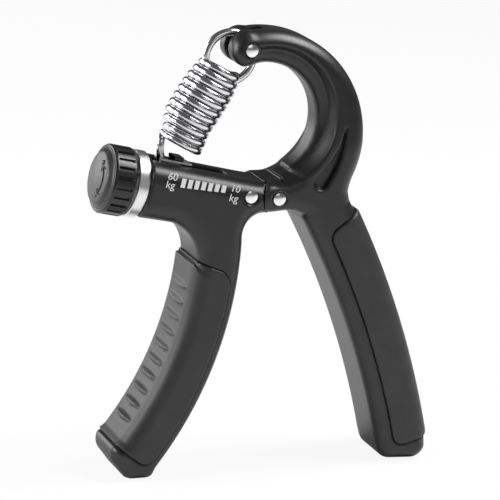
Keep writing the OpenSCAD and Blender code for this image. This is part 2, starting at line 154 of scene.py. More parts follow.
# %% Field to mesh
def net(field, low, high, step):
    """Vertices and squares of the zero surface of a field on a grid. A vertex is the mean of the
    crossings on its cube's edges, and a square joins the four cubes round a crossed edge."""
    axes = [np.arange(a, b + step, step) for a, b in zip(low, high)]
    f = field(*axes)
    cells = tuple(n - 1 for n in f.shape)
    total = np.zeros(cells + (3,))
    count = np.zeros(cells)
    crossed = []
    for k in range(3):
        first = [slice(None)] * 3
        last = [slice(None)] * 3
        first[k], last[k] = slice(0, -1), slice(1, None)
        f0, f1 = f[tuple(first)], f[tuple(last)]
        hit = (f0 < 0) != (f1 < 0)
        t = np.where(hit, f0 / np.where(hit, f0 - f1, 1), 0)
        crossed.append((hit, f0 < 0))
        others = [i for i in range(3) if i != k]
        for da in (0, 1):
            for db in (0, 1):
                part = [slice(0, cells[k])] * 3
                part[others[0]] = slice(da, da + cells[others[0]])
                part[others[1]] = slice(db, db + cells[others[1]])
                h = hit[tuple(part)]
                count += h
                total[..., k] += h * t[tuple(part)]
                total[..., others[0]] += h * da
                total[..., others[1]] += h * db
    live = count > 0
    index = np.full(cells, -1)
    index[live] = np.arange(live.sum())
    places = np.argwhere(live) + total[live] / count[live][:, None]
    points = places * step + np.array([a[0] for a in axes])
    squares = []
    for k, (hit, inside) in enumerate(crossed):
        a, b = (k + 1) % 3, (k + 2) % 3
        at = np.argwhere(hit)
        keep = (at[:, a] > 0) & (at[:, b] > 0) & (at[:, a] < cells[a]) & (at[:, b] < cells[b])
        at = at[keep]
        ring = []
        for da, db in ((0, 0), (1, 0), (1, 1), (0, 1)):
            c = at.copy()
            c[:, a] -= da
            c[:, b] -= db
            ring.append(index[tuple(c.T)])
        ring = np.stack(ring, 1)
        out = inside[tuple(at.T)]
        squares.append(np.where(out[:, None], ring, ring[:, ::-1]))
    return points, np.vstack(squares)


def add_mesh(name, points, faces, material, sharp=35):
    """A mesh object from points in millimetres. Edges that bend more than sharp degrees stay crisp."""
    mesh = bpy.data.meshes.new(name)
    mesh.from_pydata((np.asarray(points) * MM).tolist(), [], np.asarray(faces).tolist())
    mesh.update()
    mesh.shade_smooth()
    mesh.set_sharp_from_angle(angle=math.radians(sharp))
    thing = bpy.data.objects.new(name, mesh)
    bpy.context.scene.collection.objects.link(thing)
    mesh.materials.append(material)
    print(f"{name}: {len(points)} points, {len(faces)} faces")
    return thing


# %% [markdown]
# ## Finishes
# Every finish is a Principled surface with a fine grain. The grain is a noise on Object
# coordinates, which drives a bump and a small change of roughness and colour, so that no surface
# is one flat value. Scales are in noise cells per metre.

# %% Finish helper
def finish(name, colour, rough, grain, bump, metal=0.0, vary=0.25, rough_vary=0.08, stretch=(1, 1, 1)):
    """A Principled material whose colour, roughness and bump follow two scales of noise."""
    material = bpy.data.materials.new(name)
    material.use_nodes = True
    nodes, links = material.node_tree.nodes, material.node_tree.links
    shader = nodes["Principled BSDF"]
    shader.inputs["Metallic"].default_value = metal
    place = nodes.new("ShaderNodeTexCoord")
    mapping = nodes.new("ShaderNodeMapping")
    mapping.inputs["Scale"].default_value = stretch
    links.new(place.outputs["Object"], mapping.inputs["Vector"])
    fine = nodes.new("ShaderNodeTexNoise")
    fine.inputs["Scale"].default_value = grain
    fine.inputs["Detail"].default_value = 3
    broad = nodes.new("ShaderNodeTexNoise")
    broad.inputs["Scale"].default_value = grain / 30
    broad.inputs["Detail"].default_value = 4
    for noise in (fine, broad):
        links.new(mapping.outputs["Vector"], noise.inputs["Vector"])
    ramp = nodes.new("ShaderNodeValToRGB")
    low, high = ramp.color_ramp.elements
    low.position, high.position = 0.3, 0.7
    low.color = (*[c * (1 - vary) for c in colour], 1)
    high.color = (*[min(c * (1 + vary), 1) for c in colour], 1)
    links.new(broad.outputs["Fac"], ramp.inputs["Fac"])
    links.new(ramp.outputs["Color"], shader.inputs["Base Color"])
    rough_range = nodes.new("ShaderNodeMapRange")
    rough_range.inputs["To Min"].default_value = rough - rough_vary
    rough_range.inputs["To Max"].default_value = rough + rough_vary
    links.new(fine.outputs["Fac"], rough_range.inputs["Value"])
    links.new(rough_range.outputs["Result"], shader.inputs["Roughness"])
    bumps = nodes.new("ShaderNodeBump")
    bumps.inputs["Strength"].default_value = bump
    bumps.inputs["Distance"].default_value = 0.05 * MM
    links.new(fine.outputs["Fac"], bumps.inputs["Height"])
    links.new(bumps.outputs["Normal"], shader.inputs["Normal"])
    return material


# %% Finishes
body_black = finish("body_black", (0.009, 0.0093, 0.0097), 0.37, 2600, 0.25)
grip_black = finish("grip_black", (0.019, 0.0193, 0.0205), 0.48, 3600, 0.4)
knob_black = finish("knob_black", (0.012, 0.012, 0.0125), 0.32, 3000, 0.2)
cap_black = finish("cap_black", (0.022, 0.0225, 0.023), 0.4, 3000, 0.2)
tab_black = finish("tab_black", (0.015, 0.015, 0.016), 0.3, 3000, 0.2)
plated = finish("plated_wire", (0.68, 0.68, 0.70), 0.18, 300, 0.01, metal=1, vary=0.04, rough_vary=0.03)
rivet_bright = finish("rivet_bright", (0.80, 0.80, 0.81), 0.2, 400, 0.02, metal=1, vary=0.04, rough_vary=0.04)
collar_brushed = finish("collar_brushed", (0.74, 0.74, 0.74), 0.3, 500, 0.05, metal=1, vary=0.06,
                        stretch=(8, 1, 1))
zinc = finish("zinc_plate", (0.60, 0.60, 0.62), 0.32, 1800, 0.25, metal=1, vary=0.1)
steel = finish("stamped_steel", (0.50, 0.51, 0.53), 0.36, 1500, 0.3, metal=1, vary=0.12)
brass = finish("turned_brass", (0.72, 0.56, 0.28), 0.28, 1500, 0.2, metal=1, vary=0.08)
print_white = finish("print_white", (0.86, 0.86, 0.86), 0.5, 2500, 0.1, vary=0.03)
print("finishes:", len(bpy.data.materials))

# %% [markdown]
# ## The joint between the two bodies
# The arm turns on a round knuckle that lies in a round seat. Both bodies share one silhouette
# there, so each outline runs past the joint and the joint's line then cuts it without a fillet.

# %% The joint's line
knuckle_r = 5.5
seam_gap = 0.12
seam_x = pivot[0] + 2.8
joint_top = pivot[1] + 16


def arm_side(x, z):
    """Signed distance to the arm's side of the joint: the round knuckle, everything to the right
    of the seam and everything above the joint."""
    knuckle = np.hypot(x - pivot[0], z - pivot[1]) - knuckle_r
    return np.minimum(np.minimum(knuckle, seam_x - x), joint_top - z)


# The two silhouettes near the joint: the saddle under the ring's hole, and the inner corner
saddle = [pivot + p for p in ((-9.5, 5.6), (-5, 4.7), (-1, 5.0), (2.6, 5.9), (6.2, 7.4))]
under = [pivot + p for p in ((9.7, -6.5), (6.4, -5.3), (3.2, -4.9), (-0.4, -5.2))]

# %% [markdown]
# ## The fixed body
# A barrel with a rounded section runs from the collar to the joint, and a curved handle hangs
# from it. The barrel is cut square at the collar, and a slot in its top shows the nut inside.

# %% Outline of the fixed body
left_c = np.array([-140.5, 81.5])
left_out, left_in, left_mean = 113.3, 129.5, 120.0
barrel_half = 9.65
crotch_c = pivot + (-3.8, -12.9)
crotch_r = 7.3
left_loop = outline(
    barrel_at(-9, barrel_half), saddle, pivot + (9, 8), under,
    arc(crotch_c, crotch_r, 78, 180, 16), arc(left_c, left_in, -0.5, -36.9, 40),
    arc((-40.8, 3.6), 3.6, -45, -90, 8), arc((-45.2, 5.2), 5.2, -90, -125, 8),
    arc((-47.6, 9.3), 5.6, -135, -205, 10), arc(left_c, left_out, -36.6, -4.2, 36),
    arc((-41.3, 74.1), 14.9, -5, 70, 16), barrel_at(-9, -barrel_half))


def slab(loop, x, z):
    """The outline's distance on every X and Z of the grid."""
    gx, gz = np.meshgrid(x, z, indexing="ij")
    return distance_to(loop, gx, gz), gx, gz


def spread(flat_field):
    """Turns a field over X and Z into one that is the same through the thickness."""
    return flat_field[:, None, :]


def left_skin(x, y, z):
    """The fixed body before its cuts: the outline and the two faces, rounded by 6 mm on the
    barrel and 5 mm on the handle."""
    d, gx, gz = slab(left_loop, x, z)
    r = 5 + 1.2 * smooth((gz - 84) / 8)
    return round_both(spread(d), np.abs(y)[None, :, None] - half_t, spread(r)), gx, gz


def along_barrel(gx, gz):
    """Every place of the grid by the barrel's axes: u along the screw and v across it."""
    dx, dz = gx - barrel_0[0], gz - barrel_0[1]
    return dx * u_dir[0] + dz * u_dir[1], dx * v_dir[0] + dz * v_dir[1]


def rivet_cup(gx, gz, y, place, face, radius=2.75, depth=0.8):
    """Negative inside the shallow cup that a rivet's head lies in."""
    r = spread(np.hypot(gx - place[0], gz - place[1]) - radius)
    return np.maximum(r, face - depth - np.abs(y)[None, :, None])


# %% [markdown]
# ## Where the rubber lies
# Each grip is a panel that wraps the outer side of its handle. In the handle's own measures,
# length along the bend and distance from the bend's centre, its border is a plain rectangle with
# rounded corners. The body is lowered a little under it, which leaves a fine dark line round it.

# %% Grip borders
def bend(gx, gz, centre, mean_r):
    """Length along a bend, positive upwards, and distance from its centre."""
    a = np.arctan2(gz - centre[1], gx - centre[0])
    return a * mean_r, np.hypot(gx - centre[0], gz - centre[1])


def panel(s, r, s_range, r_range, corner):
    """Signed distance to a rectangle in s and r with rounded corners."""
    qs = np.abs(s - np.mean(s_range)) - np.ptp(s_range) / 2 + corner
    qr = np.abs(r - np.mean(r_range)) - np.ptp(r_range) / 2 + corner
    return np.minimum(np.maximum(qs, qr), 0) + np.hypot(np.maximum(qs, 0), np.maximum(qr, 0)) - corner


def left_zone(gx, gz):
    """The border of the fixed handle's grip."""
    s, r = bend(gx, gz, left_c, left_mean)
    lean = 0.28 * (r - 113)
    return panel(s + lean * smooth((s + 30) / 20), r, (-79.2, -7.0), (100.0, 125.6), 4.2)


right_c = np.array([-258.0, -68.5])
right_in, right_out, right_mean = 310.1, 328.3, 320.0


def right_zone(gx, gz):
    """The border of the moving handle's grip."""
    s, r = bend(gx, gz, right_c, right_mean)
    tilt = 0.14 * (r - 328) * smooth((s - 130) / 15)
    return panel(s - tilt, r, (76.2, 161.5), (315.3, 345.0), 3.4)


def bedded(skin, zone):
    """A body's skin, lowered by 0.5 mm where its grip lies."""
    return skin + 0.5 * smooth((0.3 - spread(zone)) / 0.3)


# %% The fixed body
GRID = 0.5  # the step of the grid for the large pieces
slot_ends = (2, 29)
slot_half, channel_half, channel_high = 3.2, 5.15, 5.3


def left_field(x, y, z):
    """The fixed body with its seat, square end, rivet cups, channel and slot cut out."""
    skin, gx, gz = left_skin(x, y, z)
    ay = np.abs(y)[None, :, None]
    u, v = along_barrel(gx, gz)
    f = bedded(skin, left_zone(gx, gz))
    f = np.maximum(f, spread(seam_gap - arm_side(gx, gz)))
    f = round_both(f, spread(-u), 0.5)
    f = np.maximum(f, -rivet_cup(gx, gz, y, fixed_rivet, half_t))
    ends = spread(np.maximum(slot_ends[0] - u, u - slot_ends[1]))
    slot = np.maximum(np.maximum(ends, ay - slot_half), spread(-v))
    channel = np.maximum(np.maximum(ends, ay - channel_half), spread(np.abs(v) - channel_high))
    return np.maximum(f, -np.minimum(slot, channel))


left = add_mesh("left_shell", *net(left_field, (-60, -13, -1.2), (10, 13, 112), GRID), body_black)
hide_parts("left_body")
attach(left, "frame")

# %% [markdown]
# ## The moving arm
# The arm is a C-shaped ring that runs on into a handle. Its section is thin at the hole, steps
# out through a steep hollow wall to the full thickness, and thins towards the spring's end. A
# long drop-shaped hollow lies in each face, and a slot at the end takes the spring's loop.

# %% Outline of the moving arm
ring_c = pivot + (-5.3, 20.2)
ring_r = 35.3
hole_c = pivot + (-5.3, 24.8)
hole_r = 19.6
end_r = 6.1
waist = [pivot + p for p in ((26.2, 3.4), (25.8, 1.2), (26.5, -1.9), (28.1, -4.8))]
right_loop = outline(
    arc(ring_c, ring_r, -24, 97, 60), arc(anchor, end_r, 92, 252, 30),
    arc(hole_c, hole_r, 106, -56, 60), saddle[::-1],
    pivot + (-9.5, -3.5), pivot + (-7.5, -7.3), pivot + (-4, -5.5), under[::-1],
    arc(right_c, right_in, 30.2, 14.0, 40), arc((48.2, 5.0), 4.6, -160, -100, 8),
    arc((56, 5.4), 5.4, -90, -10, 10), arc(right_c, right_out, 13.9, 28.7, 40), waist[::-1])
rim_c = pivot + (-5.0, 27.2)
rim_r = 22.2
rim_half = 6.5
drop_deep = 2.0


def drop(gx, gz):
    """Signed distance to the drop: a round end that tapers to a tip, bowed a little outwards."""
    big, tip = pivot + (14.6, 5.2), pivot + (22.4, 23.2)
    along = tip - big
    t = np.clip(((gx - big[0]) * along[0] + (gz - big[1]) * along[1]) / (along @ along), 0, 1)
    bow = 1.7 * np.sin(np.pi * t)
    return np.hypot(gx - big[0] - t * along[0] - bow, gz - big[1] - t * along[1]) - (2.9 - 2.4 * t)


def arm_thickness(gx, gz):
    """Half the arm's thickness: the full 12 mm, tapering to 8.5 at the top; 6.5 on the rim round
    the hole, with a smooth wall between that fades out at both ends of the ring; and 2 mm less
    inside the drop."""
    face = half_t - 3.5 * np.clip((gz - 112.5) / 38.5, 0, 1)
    d = np.hypot(gx - rim_c[0], gz - rim_c[1]) - rim_r
    fade = np.where(gz > hole_c[1], smooth((gx + 16) / 12), smooth((gx + 3) / 8))
    step = (1 - smooth((d + 0.3) / 2.6)) * fade
    return face - (face - rim_half) * step - drop_deep * smooth(-drop(gx, gz) / 0.9)


def right_skin(x, y, z):
    """The arm before its cuts: outline and faces, rounded by 5 mm outside and 4 mm at the rim."""
    d, gx, gz = slab(right_loop, x, z)
    rim = np.hypot(gx - rim_c[0], gz - rim_c[1]) - rim_r
    r = 4.0 + 1.0 * smooth((rim - 1) / 5)
    t = arm_thickness(gx, gz)
    return round_both(spread(d), np.abs(y)[None, :, None] - spread(t), spread(r)), gx, gz


loop_room_r, loop_room_half = 9.3, 1.8


def right_field(x, y, z):
    """The arm with the seam, plate gap, rivet cups and loop slot cut out."""
    skin, gx, gz = right_skin(x, y, z)
    ay = np.abs(y)[None, :, None]
    f = bedded(skin, right_zone(gx, gz))
    f = np.maximum(f, spread(arm_side(gx, gz)))
    f = np.maximum(f, -rivet_cup(gx, gz, y, pivot, half_t))
    f = np.maximum(f, -rivet_cup(gx, gz, y, anchor, arm_thickness(*anchor)))
    room_c = anchor - (0.5, 0.9)
    room = spread(np.hypot(gx - room_c[0], gz - room_c[1]) - loop_room_r)
    return np.maximum(f, -np.maximum(room, ay - loop_room_half))


right = add_mesh("right_shell", *net(right_field, (-20, -13, -1.2), (63, 13, 152), GRID), body_black)
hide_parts("right_arm")
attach(right, "arm")

# %% [markdown]
# ## The rubber grips
# A grip is the handle's own skin moved outwards by 0.6 mm and cut at its border, with its edge
# rounded. Small raised lenses across the outer side give the hand its hold: each rises from its
# upper edge and drops sharply at its lower one.

# %% Grips
proud = 0.6
lens_high = 1.25
under_skin = 1.4  # how far a grip reaches in below its body's skin


def lenses(s, side, y, places, half_long=6.8, half_wide=1.25):
    """Height of the raised lenses: an ellipse in length and Y round each place, highest near its
    lower edge."""
    total = 0
    for place in places:
        q = ((s - place) / half_wide)[:, None, :] ** 2 + (y[None, :, None] / half_long) ** 2
        ramp = np.clip(0.6 - 0.5 * (s - place) / half_wide, 0.1, 1)[:, None, :]
        total = total + lens_high * np.clip(1 - q, 0, 1) ** 0.35 * ramp
    return total * spread(side)


def grip_field(skin_of, zone_of, centre, mean_r, outer_r, places, side):
    """Builds the field of one grip from its body's skin, its border and its lenses."""
    def field(x, y, z):
        skin, gx, gz = skin_of(x, y, z)
        s, r = bend(gx, gz, centre, mean_r)
        outside = smooth(1.5 - side * (outer_r - r) / 2)
        outer = skin - proud - lenses(s, outside, y, places)
        f = round_both(outer, spread(zone_of(gx, gz)), 0.5)
        return np.maximum(f, -(skin + under_skin))
    return field


left_lenses = -np.radians(np.linspace(8.3, 33.2, 10)) * left_mean
right_lenses = np.radians(np.linspace(27.0, 16.2, 12)) * right_mean
left_room = (-57, -14, 2), (-8, 14, 80)
right_room = (17, -14, 2), (63, 14, 96)
left_grip_field = grip_field(left_skin, left_zone, left_c, left_mean, left_out, left_lenses, -1)
right_grip_field = grip_field(right_skin, right_zone, right_c, right_mean, right_out, right_lenses, 1)
left_rubber = add_mesh("left_rubber", *net(left_grip_field, *left_room, GRID), grip_black)
right_rubber = add_mesh("right_rubber", *net(right_grip_field, *right_room, GRID), grip_black)
for rubber, node, body in ((left_rubber, "left_grip", "frame"), (right_rubber, "right_grip", "arm")):
    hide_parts(node)
    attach(rubber, body)

# %% [markdown]
# ## Turned pieces
# Rivets, collar, knob and cap are profiles carried round an axis. One helper makes them all: a
# profile is a list of distances along the axis and radii, and a function may change the radius
# with the angle, which gives the knob its ribs.

# %% Lathe
def lathe(name, start, along, profile, material, steps=96, ribs=None, side=(0.0, 1.0, 0.0)):
    """A surface of revolution. Point = start + axis times distance + radius times (cosine of the
    angle times one cross direction + sine times the other). Ends on the axis close to one point."""
    axis = np.array(along, float) / np.linalg.norm(along)
    e1 = np.array(side, float)
    e2 = np.cross(axis, e1)
    t, r = np.array(profile, float).T
    a = np.linspace(0, 2 * np.pi, steps, endpoint=False)
    radius = np.repeat(r[:, None], steps, 1)
    if ribs is not None:
        radius = radius - ribs(t[:, None], a[None, :])
    ring = np.cos(a)[:, None] * e1 + np.sin(a)[:, None] * e2
    points = np.array(start) + t[:, None, None] * axis + radius[..., None] * ring[None]
    n = len(t)
    i, j = np.meshgrid(np.arange(n - 1), np.arange(steps), indexing="ij")
    k = (j + 1) % steps
    faces = np.stack([i * steps + j, i * steps + k, (i + 1) * steps + k, (i + 1) * steps + j], -1)
    thing = add_mesh(name, points.reshape(-1, 3), faces.reshape(-1, 4), material)
    shape = bmesh.new()
    shape.from_mesh(thing.data)
    bmesh.ops.remove_doubles(shape, verts=shape.verts, dist=1e-6)
    bmesh.ops.recalc_face_normals(shape, faces=shape.faces)
    shape.to_mesh(thing.data)
    shape.free()
    return thing


def upright(place, y=0.0):
    """A place in the X-Z plane as a point in space, in millimetres."""
    return np.array([place[0], y, place[1]])


# %% [markdown]
# ## Rivets
# A plated shank with a low dome at each end. The dome is a cap of a larger ball.

# %% Rivets
def rivet_profile(length, head_r=2.1, head_h=0.8, shank=1.8):
    """Dome, rim, shank, rim, dome, as distance along the pin and radius."""
    rim_h = 0.45
    shares = np.linspace(0, 1, 10)
    dome = [(-length / 2 - rim_h - (head_h - rim_h) * (1 - s * s), head_r * s) for s in shares]
    low = dome + [(-length / 2, head_r), (-length / 2, shank)]
    return low + [(-t, r) for t, r in low[::-1]]


pins = {"fixed_rivet": ("frame", 22.4), "pivot_rivet": ("arm", 22.4), "spring_rivet": ("arm", 15.4)}
for node, (body, length) in pins.items():
    pin = lathe(node + "_bright", upright(centre_of(node)), (0, 1, 0), rivet_profile(length),
                rivet_bright, 48, side=(1.0, 0.0, 0.0))
    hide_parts(node)
    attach(pin, body)

# %% [markdown]
# ## Collar, knob and cap
# They share the screw's axis. The collar is turned and brushed metal. The knob is a ribbed cup:
# broad pads with narrow grooves between them and a plain rim at each end. The cap is a low dome
# with a raised double arrow, a plus and a minus, which show which way to turn.

# %% Collar, knob and cap
screw = np.array([u_dir[0], 0.0, u_dir[1]])
origin = upright(barrel_0)
collar_u = (-3.9, 0.0)
face_u, back_u = -12.6, -4.8
collar = lathe("collar_turned", origin, screw, [
    (collar_u[0], 8.2), (collar_u[0], 10.9), (collar_u[0] + 0.25, 11.2), (collar_u[1] - 0.25, 11.2),
    (collar_u[1], 10.9), (collar_u[1], 8.2), (collar_u[0], 8.2)], collar_brushed, 128)
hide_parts("collar_ring")
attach(collar, "frame")

rib_count = 22


def grooves(t, a):
    """Depth of the grooves: narrow dips that repeat round the knob, faded out at both rims."""
    wave = np.cos(a * rib_count)
    belt = smooth((t - face_u - 1.2) / 0.4) * smooth((back_u - 0.9 - t) / 0.4)
    return 0.75 * smooth((wave - 0.35) / 0.4) * belt


belt_u = np.linspace(face_u + 0.7, back_u - 0.5, 24)
knob_profile = [(face_u + 0.4, 8.0), (face_u + 0.1, 10.45), (face_u, 10.75), (face_u + 0.15, 11.15)]
knob_profile += [(u, 11.5) for u in belt_u]
knob_profile += [(back_u - 0.15, 11.3), (back_u, 11.0), (back_u, 3.2), (back_u - 3, 3.2), (back_u - 3, 8.0)]
knob_profile += [(face_u + 0.4, 8.0)]
knob = lathe("knob_ribbed", origin, screw, knob_profile, knob_black, rib_count * 16, ribs=grooves)
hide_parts("knob_ring")
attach(knob, "knob")


def dome_u(r):
    """Where the cap's face is at a radius: a shallow bowl that falls away faster near its rim."""
    return face_u - 2.5 + 1.2 * (r / 10.2) ** 1.8 + 1.3 * smooth((r - 8.2) / 2.1)


cap_r = np.concatenate([np.linspace(0, 8, 14), np.linspace(8.3, 10.3, 12)])
cap = lathe("knob_cap_dome", origin, screw, [(dome_u(r), r) for r in cap_r] + [
    (face_u + 0.3, 10.35), (face_u + 1.6, 9.0), (face_u + 1.6, 0.0)], cap_black, 128)
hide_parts("knob_cap")
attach(cap, "knob")

# %% [markdown]
# ## Wire and line work
# The spring, its hooks and the raised arrow are round tubes along a path. The tube's ring is
# turned as little as possible from point to point, so that it never twists.

# %% Tube along a path
def tube(name, path, radius, material, sides):
    """A round tube: at each path point a circle of the given radius, square to the path, whose
    first direction is the last one less its part along the path. Rounded caps close both ends."""
    path = np.asarray(path, float)
    radius = np.broadcast_to(np.asarray(radius, float), len(path))
    tangent = np.gradient(path, axis=0)
    tangent /= np.linalg.norm(tangent, axis=1)[:, None]
    first = np.cross(tangent[0], (0.31, 0.77, 0.55))
    frames = []
    for t in tangent:
        first = first - t * (first @ t)
        first /= np.linalg.norm(first)
        frames.append((first, np.cross(t, first)))
    frames = np.array(frames)
    a = np.linspace(0, 2 * np.pi, sides, endpoint=False)
    ring = frames[:, :1] * np.cos(a)[None, :, None] + frames[:, 1:] * np.sin(a)[None, :, None]
    points = path[:, None] + ring * radius[:, None, None]
    n = len(path)
    i, j = np.meshgrid(np.arange(n - 1), np.arange(sides), indexing="ij")
    k = (j + 1) % sides
    faces = np.stack([i * sides + j, i * sides + k, (i + 1) * sides + k, (i + 1) * sides + j], -1)
    points = points.reshape(-1, 3)
    tips = [path[0] - tangent[0] * radius[0] * 0.4, path[-1] + tangent[-1] * radius[-1] * 0.4]
    points = np.vstack([points, tips])
    faces = [list(f) for f in faces.reshape(-1, 4)]
    last = (n - 1) * sides
    faces += [[n * sides, (b + 1) % sides, b] for b in range(sides)]
    faces += [[last + b, last + (b + 1) % sides, n * sides + 1] for b in range(sides)]
    mesh = bpy.data.meshes.new(name)
    mesh.from_pydata((points * MM).tolist(), [], [[int(i) for i in f] for f in faces])
    mesh.update()
    mesh.shade_smooth()
    thing = bpy.data.objects.new(name, mesh)
    bpy.context.scene.collection.objects.link(thing)
    mesh.materials.append(material)
    print(f"{name}: {n} stations")
    return thing


def curve_through(points, each=10):
    """A smooth path through points: between two, the cubic whose slopes are half the distance
    between the neighbours of each."""
    p = np.asarray(points, float)
    p = np.vstack([2 * p[0] - p[1], p, 2 * p[-1] - p[-2]])
    t = np.linspace(0, 1, each, endpoint=False)[:, None]
    parts = []
    for a, b, c, d in zip(p[:-3], p[1:-2], p[2:-1], p[3:]):
        parts.append(0.5 * (2 * b + (c - a) * t + (2 * a - 5 * b + 4 * c - d) * t ** 2
                            + (3 * b - a - 3 * c + d) * t ** 3))
    return np.vstack(parts + [p[-2:-1]])


# %% [markdown]
# ## The spring
# Ten and a half close turns of plated wire, fuller at the middle. Below, the wire leaves the end
# of the lowest turn and drops through the slot to hook under the nut's pin. Above, it leaves the
# end of the top turn and makes a loop round the arm's rivet. The coil and the lower hook stay
# where they are made; the loop rides with the spring's head.

# %% Spring frame
wire_r = 1.32
wire_sides = 14
side_dir = np.array([w_dir[1], -w_dir[0]])
turn_pitch = 2.66
turns = 10.5


def on_spring(across, y, w):
    """A place by the spring's own axes: across it in the X-Z plane, Y, and along it."""
    flat_place = eye + np.multiply.outer(across, side_dir) + np.multiply.outer(w, w_dir)
    y = np.broadcast_to(y, np.shape(across))
    return np.stack([flat_place[..., 0], y, flat_place[..., 1]], -1)


coil_low = 8.95


def coil_point(phase):
    """The coil's centre line: a helix that swells from 6.1 mm at its foot to 7.5 and back to 6,
    and stands 2.3 mm to the knob's side of the spring's axis from its third turn on."""
    t = phase / (2 * np.pi * turns)
    r = 7.5 - 1.4 * np.clip(1 - t / 0.45, 0, 1) ** 2 - 1.5 * np.clip((t - 0.6) / 0.4, 0, 1) ** 2
    across = -r * np.cos(phase) - 2.3 * smooth(t / 0.3)
    return on_spring(across, -r * np.sin(phase), coil_low + turn_pitch * phase / (2 * np.pi))


coil_path = coil_point(np.linspace(0, 2 * np.pi * turns, int(turns * 40)))
coil = tube("spring_coil_wire", coil_path, wire_r, plated, wire_sides)
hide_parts("spring_coil")

# %% Lower hook
start_slope = coil_path[0] - coil_path[2]
bends = [(-6.3, 0.6, 6.4), (-4.6, 0.2, 3.4), (-2.6, 0.0, 1.0), (-2.0, 0.0, -0.9), (-0.3, 0.0, -2.2),
         (1.6, 0.0, -1.5), (2.2, 0.0, 0.2), (1.6, 0.0, 1.6)]
low_hook = curve_through([coil_path[0], coil_path[0] + start_slope * 1.2,
                          *(on_spring(np.array(across), y, w) for across, y, w in bends)])
hook = tube("spring_hook_wire", low_hook, wire_r, plated, wire_sides)
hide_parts("spring_lower_hook")

# %% Upper loop
loop_c = anchor - (4.6, 3.7)
loop_r = 8.3
loop_flat = arc(loop_c, loop_r, 200, -128, 44)
loop_points = np.column_stack([loop_flat[:, 0], np.zeros(len(loop_flat)), loop_flat[:, 1]])
end_slope = coil_path[-1] - coil_path[-3]
each = 8
lead_in = curve_through([coil_path[-1], coil_path[-1] + end_slope * 1.3,
                         loop_points[0] + (0.2, 0.8, -2.2), loop_points[0], loop_points[2]], each)
high_hook = np.vstack([lead_in[:-each - 1], loop_points])
loop = tube("spring_loop_wire", high_hook, wire_r, plated, wire_sides)
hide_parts("spring_upper_hook")


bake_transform(coil)
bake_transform(hook)
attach(loop, "spring_head")

# %% [markdown]
# ## Pointer
# A small black tab rides on the nut and shows the load against the printed scale. It is a flat
# block with rounded corners, made as a field like the bodies.

# %% Pointer
tab_low, tab_high = (np.array(corner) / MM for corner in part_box("pointer_tab"))
tab_u, tab_v = (8.4, 13.0), (barrel_half + 0.7, barrel_half + 2.2)
tab_half = 3.0


def tab_field(x, y, z):
    """A rounded block in the barrel's own axes."""
    gx, gz = np.meshgrid(x, z, indexing="ij")
    u, v = along_barrel(gx, gz)
    du = spread(np.abs(u - np.mean(tab_u)) - np.ptp(tab_u) / 2)
    dy = np.abs(y)[None, :, None] - tab_half
    dv = spread(np.abs(v - np.mean(tab_v)) - np.ptp(tab_v) / 2)
    return round_both(round_both(du, dy, 1.2), dv, 0.5)


tab = add_mesh("pointer_block", *net(tab_field, tab_low - 2, tab_high + 2, 0.2), tab_black)
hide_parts("pointer_tab")
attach(tab, "slider")

# %% [markdown]
# ## Printed scale and the cap's arrow
# The load scale is plain white print: numbers with a unit at each end and seven bars between
# them. Print is a skin a few hundredths of a millimetre thick on the front face.

# %% Print
ink_y = -half_t - 0.02
ink_half = 0.015
letter_size = 3.5


def place_text(name, words, u, v):
    """Makes words as flat letters in the barrel's axes, centred on u and v, facing the front."""
    letters = bpy.data.curves.new(name, "FONT")
    letters.body = words
    letters.size = letter_size * MM
    letters.align_x = "CENTER"
    letters.align_y = "CENTER"
    letters.extrude = ink_half * MM
    carrier = bpy.data.objects.new(name + "_curve", letters)
    bpy.context.scene.collection.objects.link(carrier)
    bpy.context.view_layer.update()
    solved = carrier.evaluated_get(bpy.context.evaluated_depsgraph_get())
    mesh = bpy.data.meshes.new_from_object(solved)
    bpy.data.objects.remove(carrier)
    p = barrel_at(u, v) * MM
    turn = Matrix(((u_dir[0], v_dir[0], 0), (0, 0, -1), (u_dir[1], v_dir[1], 0))).to_4x4()
    mesh.transform(Matrix.Translation((p[0], ink_y * MM, p[1])) @ turn)
    mesh.materials.clear()
    mesh.materials.append(print_white)
    thing = bpy.data.objects.new(name, mesh)
    bpy.context.scene.collection.objects.link(thing)
    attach(thing, "frame")
    print(name, len(mesh.polygons), "faces")


place_text("print_high_load", "60", 6.5, 6.8)
place_text("print_high_unit", "kg", 6.3, 4.0)
place_text("print_low_load", "10", 29.0, 6.6)
place_text("print_low_unit", "kg", 29.2, 3.4)

bar_count = 7
bar_points, bar_faces = [], []
for k in range(bar_count):
    share = k / (bar_count - 1)
    centre_u, centre_v = 10.6 + 14.3 * share, 5.4 + 0.5 * share
    half_w, half_h = 0.78, 1.55 - 0.3 * share
    for y in (ink_y - ink_half, ink_y + ink_half):
        for du, dv in ((-1, -1), (1, -1), (1, 1), (-1, 1)):
            bar_points.append(upright(barrel_at(centre_u + du * half_w, centre_v + dv * half_h), y))
    b = 8 * k
    bar_faces += [[b, b + 1, b + 2, b + 3], [b + 7, b + 6, b + 5, b + 4]]
    bar_faces += [[b + (i + 1) % 4, b + i, b + 4 + i, b + 4 + (i + 1) % 4] for i in range(4)]
bars = add_mesh("print_bars", bar_points, bar_faces, print_white)
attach(bars, "frame")

# %% Arrow on the cap
e_side = np.array([0.0, 1.0, 0.0])
e_up = np.cross(screw, e_side)
line_lift, line_r = 0.05, 0.28
arrow_r, head_long, head_wide = 5.9, 0.28, 1.1
arrow_middle, arrow_half = math.pi, 0.95
sign_a, sign_r = 2.05, 6.5  # the angle and radius of the plus and the minus


def on_cap(a, r):
    """A point just above the cap's face, at an angle and a radius."""
    return origin + screw * (dome_u(r) - line_lift) + r * (math.cos(a) * e_side + math.sin(a) * e_up)


